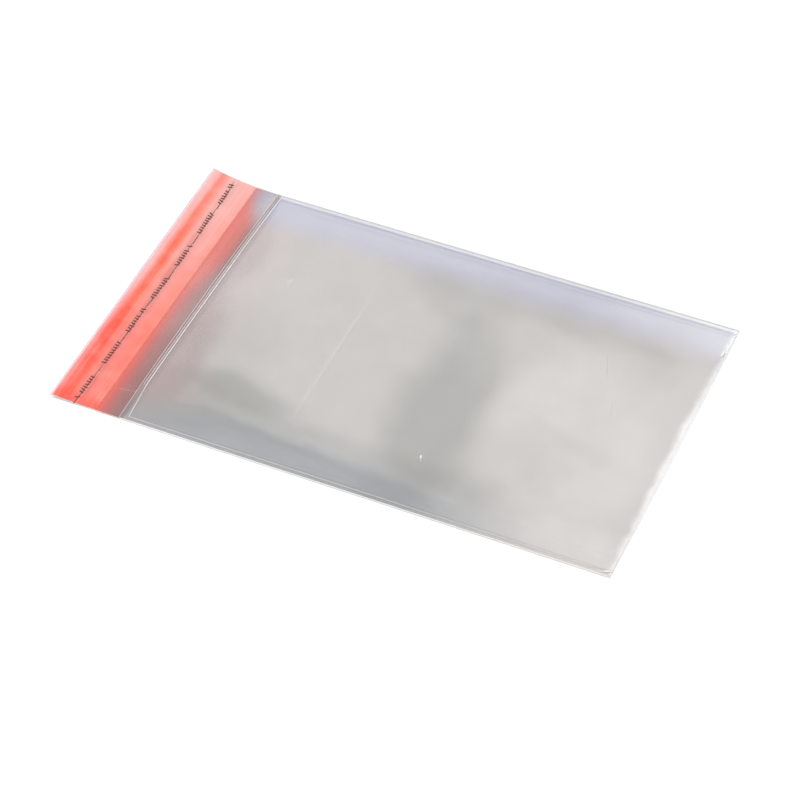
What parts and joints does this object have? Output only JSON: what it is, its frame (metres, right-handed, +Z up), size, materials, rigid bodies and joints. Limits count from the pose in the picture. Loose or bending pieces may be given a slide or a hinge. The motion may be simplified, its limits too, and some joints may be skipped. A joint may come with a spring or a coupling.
{
  "type": "postcard sleeve",
  "caption": "Clear self-seal film sleeve for a postcard: a flat welded pocket, open at one short end, with a flap whose adhesive lies under a coral release liner.",
  "frame": {"origin": "under the middle of the sleeve's box, on the surface it lies on", "axes": "+X from the flap's tip to the folded end, +Y across the sleeve, +Z up, out of the front panel"},
  "size_m": [0.178, 0.11, 0.0035],
  "materials": {
    "clear_film": "clear glossy polypropylene film with a faint grey haze",
    "adhesive": "clear acrylic adhesive, slightly milky",
    "liner": "translucent coral release film, satin, with a fine dark printed line"
  },
  "bodies": {
    "root": {"sleeve_film": "clear_film", "adhesive_strip": "adhesive", "release_liner": "liner"}
  },
  "joints": []
}
